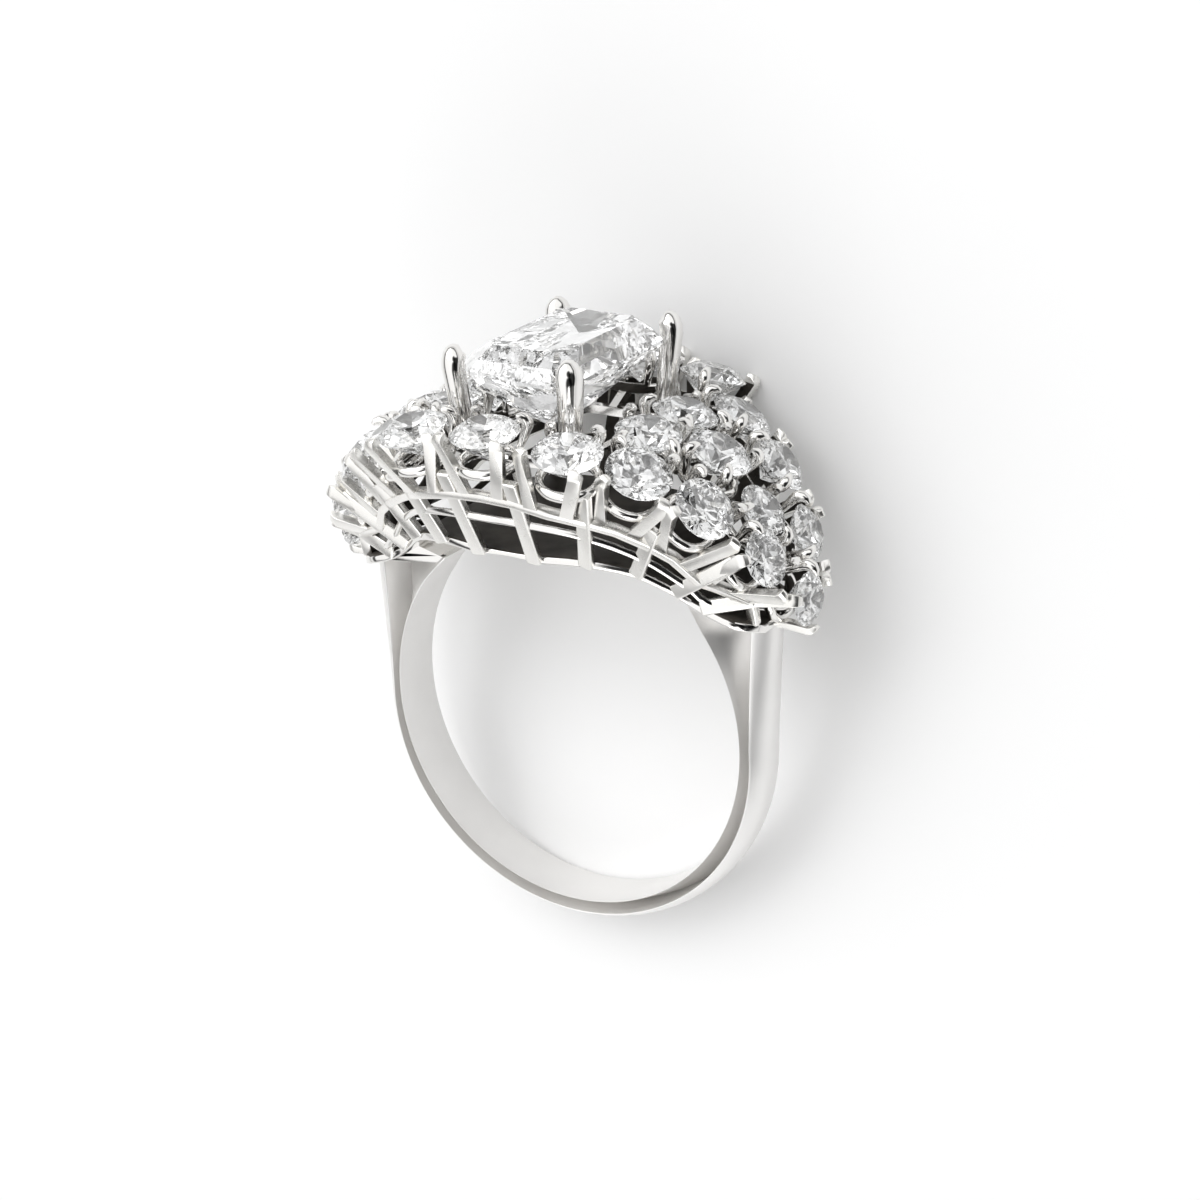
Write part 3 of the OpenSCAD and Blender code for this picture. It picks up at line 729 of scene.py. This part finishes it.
def makeCentreBasket():
    spec = centreSpec
    out = Vector((1, 0, 1)).normalized()
    up = Vector((0, 1, 0))
    wide, thick = spec["claw"]
    cut = spec["cornerCut"] / 2
    corner = Vector((spec["width"] / 2 - cut, 0, spec["length"] / 2 - cut))
    stem = corner + out * (spec["gap"] + thick / 2)
    foot = Vector((stem.x - spec["clawFootIn"], spec["clawFootY"], stem.z - spec["clawFootIn"]))
    girdle = Vector((stem.x, spec["girdleY"] + spec["clawBendRise"], stem.z))
    top = spec["girdleY"] + spec["clawTop"]
    piece = startPiece("centre_basket")
    inward = Vector((1, 0, 1))
    stations = []
    for share, wideShare, thickShare in spec["stemSteps"]:
        stations.append((foot.lerp(girdle, share), girdle - foot, out, wide * wideShare, thick * thickShare))
    stations.append((girdle, up, out, wide, thick))
    for below, lean, bend, wideShare, thickShare in spec["headSteps"]:
        place = stem + up * (top - below) - inward * lean
        stations.append((place, up - out * bend, out, wide * wideShare, thick * thickShare))
    drawWire(stations, spec["clawSides"])
    lowY = spec["clawFootY"] + spec["frameRise"]
    wire = gallerySpec["wire"]
    cornerX, cornerZ = foot.x + spec["frameOut"], foot.z + spec["frameOut"]
    drawBar(Vector((0, lowY, cornerZ)), Vector((cornerX, lowY, cornerZ)), up, wire, wire)
    drawBar(Vector((cornerX, lowY, 0)), Vector((cornerX, lowY, cornerZ)), up, wire, wire)
    seat = seats["rim_1"]
    reach = seat.wide * spec["tieShare"]
    drawBar(Vector((foot.x, lowY, foot.z)), seatPlace(seat) - out * reach, up, wire, wire)
    mirrorPiece(piece, True, True)
    middle = startPiece("centre_ties")
    seat = seats["rim_0"]
    reach = seat.wide * spec["tieShare"]
    drawBar(Vector((0, lowY, foot.z)), seatPlace(seat) - Vector((0, 0, reach)), up, wire, wire)
    mirrorPiece(middle, False, True)
    whole = joinPieces("centre_basket", [piece, middle])
    return finishPiece(whole, polishedMetal, 50)


makeCentreBasket()
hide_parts("mount")
print("centre basket ready")

# Stones, cut from a blank one facet at a time


def cutFacet(azimuth, angle, through):
    # all beyond the facet's plane is taken off; the angle is from flat, negative below the girdle
    turn, tip = math.radians(azimuth), math.radians(abs(angle))
    normal = Vector((math.sin(tip) * math.cos(turn), math.sin(tip) * math.sin(turn),
                     math.cos(tip) * (1 if angle >= 0 else -1)))
    bpy.ops.mesh.select_all(action="SELECT")
    bpy.ops.mesh.bisect(plane_co=through, plane_no=normal, use_fill=True, clear_outer=True,
                        clear_inner=False, threshold=0.00001)


def rimPoint(radius, azimuth, height):
    turn = math.radians(azimuth)
    return Vector((radius * math.cos(turn), radius * math.sin(turn), height))


# a round brilliant of radius 1: facet angles from flat, heights and radii as shares of its radius
brilliantCut = {
    "girdle": 0.02, "table": 0.56, "crownMain": 34.8, "star": 22.0, "crownHalf": 41.3,
    "pavilionMain": 39.3, "pavilionHalf": 42.2, "girdleSides": 64, "blankDepth": 2.2, "turnStep": 17,
}


def makeBrilliant():
    cut = brilliantCut
    selectOnly()
    bpy.ops.mesh.primitive_cylinder_add(vertices=cut["girdleSides"], radius=1, depth=cut["blankDepth"])
    stone = bpy.context.object
    bpy.ops.object.mode_set(mode="EDIT")
    half = cut["girdle"]
    tableZ = half + (1 - cut["table"]) * math.tan(math.radians(cut["crownMain"]))
    cutFacet(0, 0, (0, 0, tableZ))
    for k in range(8):
        cutFacet(45 * k, cut["crownMain"], rimPoint(1, 45 * k, half))
        cutFacet(45 * k, -cut["pavilionMain"], rimPoint(1, 45 * k, -half))
    for k in range(8):
        cutFacet(45 * k + 22.5, cut["star"], rimPoint(cut["table"], 45 * k, tableZ))
    for k in range(16):
        cutFacet(22.5 * k + 11.25, cut["crownHalf"], rimPoint(1, 22.5 * k, half))
        cutFacet(22.5 * k + 11.25, -cut["pavilionHalf"], rimPoint(1, 22.5 * k, -half))
    bpy.ops.object.mode_set(mode="OBJECT")
    return stone


blank = makeBrilliant()
stones = []
for count, (name, seat, sideX, sideZ) in enumerate(allSeats()):
    stone = blank.copy()
    stone.data = blank.data.copy()
    bpy.context.collection.objects.link(stone)
    stone.name = stone.data.name = "brilliant_" + name
    up, out = turned(seat.up, sideX, sideZ), turned(seat.out, sideX, sideZ)
    axes = Matrix((out, up.cross(out), up)).transposed().to_4x4()
    # no two neighbours face alike
    spin = Matrix.Rotation(math.radians(brilliantCut["turnStep"] * count % 45), 4, "Z")
    stone.matrix_world = (Matrix.Translation(turned(seat.place, sideX, sideZ)) @ axes @ spin
                          @ Matrix.Scale(seat.wide / 2, 4))
    finishPiece(stone, roundDiamondPaintedShade, flat=True)
    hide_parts(name)
    stones.append(stone)
bpy.data.objects.remove(blank)
print("brilliants cut:", len(stones))

# the centre stone: angles from flat, heights from the middle of its girdle
centreCut = {
    "tableZ": 1.0, "girdle": 0.08, "crownLow": 49, "crownHigh": 36, "crownBreak": 0.5,
    "pavilionLow": 57, "pavilionMain": 40.5, "pavilionBreak": 0.95, "pavilionLast": 35, "lastDepth": 2.1,
    "lastShare": (0.345, 0.537), "blankDepth": 6.4, "blankMiddle": -1, "cornerShare": 0.7,
    # turns and added steepness of the mains, of the sides and at each end of the corners
    "sideFan": [(0, 0), (-7, 1), (7, 1)], "cornerFan": [(-24, 1.5, 0), (24, 1.5, 1), (-8, -1, 0), (8, -1, 1)],
}


def makeCentreStone():
    spec, cut = centreSpec, centreCut
    halfW, halfL = spec["width"] / 2, spec["length"] / 2
    selectOnly()
    bpy.ops.mesh.primitive_cube_add(size=1, scale=(spec["width"], spec["length"], cut["blankDepth"]),
                                    location=(0, 0, cut["blankMiddle"]))
    stone = bpy.context.object
    bpy.ops.object.transform_apply(location=True, rotation=True, scale=True)
    bpy.ops.object.mode_set(mode="EDIT")
    half = cut["girdle"]
    chamfer = Vector((halfW - spec["cornerCut"] / 2, halfL - spec["cornerCut"] / 2, 0))
    sides = [(0, Vector((halfW, 0, 0))), (90, Vector((0, halfL, 0))), (180, Vector((-halfW, 0, 0))),
             (270, Vector((0, -halfL, 0)))]
    corners = [(45, 1, 1), (135, -1, 1), (225, -1, -1), (315, 1, -1)]
    corners = [(azimuth, Vector((chamfer.x * x, chamfer.y * y, 0))) for azimuth, x, y in corners]
    up = Vector((0, 0, 1))
    for azimuth, place in corners:
        cutFacet(azimuth, 90, place)
    cutFacet(0, 0, up * cut["tableZ"])
    run = (cut["crownBreak"] - half) / math.tan(math.radians(cut["crownLow"]))
    for azimuth, place in sides + corners:
        inward = place - rimPoint(run, azimuth, 0)
        cutFacet(azimuth, cut["crownLow"], place + up * half)
        cutFacet(azimuth, cut["crownHigh"], inward + up * cut["crownBreak"])
    # pavilion: a steep row below the girdle, then mains and the split facets between them
    depth = cut["pavilionBreak"] - half
    inset = depth / math.tan(math.radians(cut["pavilionLow"]))
    for azimuth, place in sides + corners:
        cutFacet(azimuth, -cut["pavilionLow"], place - up * half)
    trim = spec["cornerCut"] * cut["cornerShare"]
    breakCorners = (Vector((halfW - inset, halfL - inset - trim, -cut["pavilionBreak"])),
                    Vector((halfW - inset - trim, halfL - inset, -cut["pavilionBreak"])))
    for azimuth, place in sides:
        for swing, angle in cut["sideFan"]:
            cutFacet(azimuth + swing, -cut["pavilionMain"] - angle,
                     place - rimPoint(inset, azimuth, cut["pavilionBreak"]))
    for sideX, sideY in ((1, 1), (-1, 1), (-1, -1), (1, -1)):
        middle = math.degrees(math.atan2(sideY, sideX))
        for swing, angle, which in cut["cornerFan"]:
            corner = breakCorners[which]
            place = Vector((corner.x * sideX, corner.y * sideY, corner.z))
            cutFacet(middle + swing * sideX * sideY, -cut["pavilionMain"] - angle, place)
    shareX, shareY = cut["lastShare"]
    for azimuth, place in sides + corners:
        cutFacet(azimuth, -cut["pavilionLast"], (place.x * shareX, place.y * shareY, -cut["lastDepth"]))
    bpy.ops.object.mode_set(mode="OBJECT")
    # upright: the stone's own z becomes the ring's y
    stone.name = stone.data.name = "radiant_centre"
    upright = Matrix.Rotation(math.radians(-90), 4, "X")
    stone.matrix_world = Matrix.Translation((0, spec["girdleY"], 0)) @ upright
    finishPiece(stone, centreDiamond, flat=True)
    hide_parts("centre_stone")
    return stone


makeCentreStone()
print("centre stone cut")

# Floor, light and camera

studio = {
    "floorColour": (0.94, 0.94, 0.94), "skyStrength": 1.2,
    "sky": [(0.0, (0.5, 0.5, 0.5)), (0.18, (0.8, 0.8, 0.8)), (0.26, (0.04, 0.04, 0.04)),
            (0.36, (0.04, 0.04, 0.04)), (0.44, (0.9, 0.9, 0.9)), (1.0, (1, 1, 1))],
    "cameraPlace": (0.0675843, 0.0182045, 0.1179247),
    "darkPatches": [((0.4927, 0.1327, 0.8597), 0.955, 0.98), ((0.526, -0.471, 0.708), 0.9, 0.95),
                    ((0.8, -0.1, 0.55), 0.88, 0.94)],
    "key": ((-0.16, 0.16, 0.26), 0.3, 0.4), "fill": ((0.12, -0.3, 0.18), 0.25, 0.3),
    "lightAim": (0, 0, 0.006),
    "floorSize": 3, "floorRoughness": 0.55, "grainScale": 40, "grainShade": 0.985, "patchLight": 0.03,
    "cameraTurn": (-0.0697734, 0.5415729, 0.1196987), "lens": 93.31, "sensor": 36,
    "clipStart": 0.01, "lightBounces": 40,
}
selectOnly()
bpy.ops.mesh.primitive_plane_add(size=studio["floorSize"])
floor = bpy.context.object
floor.name = "floor"
floorMaterial, nodes, links, shader = newMaterial("paleFloor")
shader.inputs["Roughness"].default_value = studio["floorRoughness"]
grain = nodes.new("ShaderNodeTexNoise")
grain.inputs["Scale"].default_value = studio["grainScale"]
shade = nodes.new("ShaderNodeValToRGB")
shade.color_ramp.elements[0].color = (*[c * studio["grainShade"] for c in studio["floorColour"]], 1)
shade.color_ramp.elements[1].color = (*studio["floorColour"], 1)
coords = nodes.new("ShaderNodeTexCoord")
links.new(coords.outputs["Object"], grain.inputs["Vector"])
links.new(grain.outputs["Fac"], shade.inputs["Fac"])
links.new(shade.outputs["Color"], shader.inputs["Base Color"])
floor.data.materials.append(floorMaterial)

for name in ("key", "fill"):
    place, size, power = studio[name]
    bpy.ops.object.light_add(type="AREA", location=place)
    lamp = bpy.context.object
    lamp.name = name + "_light"
    lamp.data.size = size
    lamp.data.energy = power
    lamp.rotation_euler = (Vector(studio["lightAim"]) - Vector(place)).to_track_quat("-Z", "Y").to_euler()

world = bpy.data.worlds.new("studio")
bpy.context.scene.world = world
world.use_nodes = True
background = world.node_tree.nodes["Background"]
background.inputs["Strength"].default_value = studio["skyStrength"]
nodes, links = world.node_tree.nodes, world.node_tree.links
heading = nodes.new("ShaderNodeTexCoord")
height = nodes.new("ShaderNodeSeparateXYZ")
links.new(heading.outputs["Generated"], height.inputs["Vector"])
sky = nodes.new("ShaderNodeValToRGB")
for place, colour in studio["sky"]:
    if 0 < place < 1:
        stop = sky.color_ramp.elements.new(place)
    else:
        stop = sky.color_ramp.elements[-1 if place == 1 else 0]
    stop.position = place
    stop.color = (*colour, 1)
links.new(height.outputs["Z"], sky.inputs["Fac"])
# the camera and the dark of the room to either side of it show in the polish as round patches
light = sky.outputs["Color"]
for toward, edge, core in studio["darkPatches"]:
    near = nodes.new("ShaderNodeVectorMath")
    near.operation = "DOT_PRODUCT"
    near.inputs[1].default_value = Vector(toward).normalized()
    links.new(heading.outputs["Generated"], near.inputs[0])
    patch = nodes.new("ShaderNodeMapRange")
    patch.inputs["From Min"].default_value, patch.inputs["From Max"].default_value = edge, core
    patch.inputs["To Min"].default_value = 1
    patch.inputs["To Max"].default_value = studio["patchLight"]
    links.new(near.outputs["Value"], patch.inputs["Value"])
    shaded = nodes.new("ShaderNodeVectorMath")
    shaded.operation = "SCALE"
    links.new(light, shaded.inputs[0])
    links.new(patch.outputs["Result"], shaded.inputs["Scale"])
    light = shaded.outputs["Vector"]
links.new(light, background.inputs["Color"])

bpy.ops.object.camera_add(location=studio["cameraPlace"], rotation=studio["cameraTurn"])
camera = bpy.context.object
camera.data.lens = studio["lens"]
camera.data.sensor_width = studio["sensor"]
camera.data.clip_start = studio["clipStart"]
bpy.context.scene.camera = camera
bpy.context.scene.view_settings.view_transform = "Standard"
# light is turned back and forth many times inside a cut stone
paths = bpy.context.scene.cycles
paths.max_bounces = paths.transmission_bounces = paths.glossy_bounces = studio["lightBounces"]
print("studio ready")
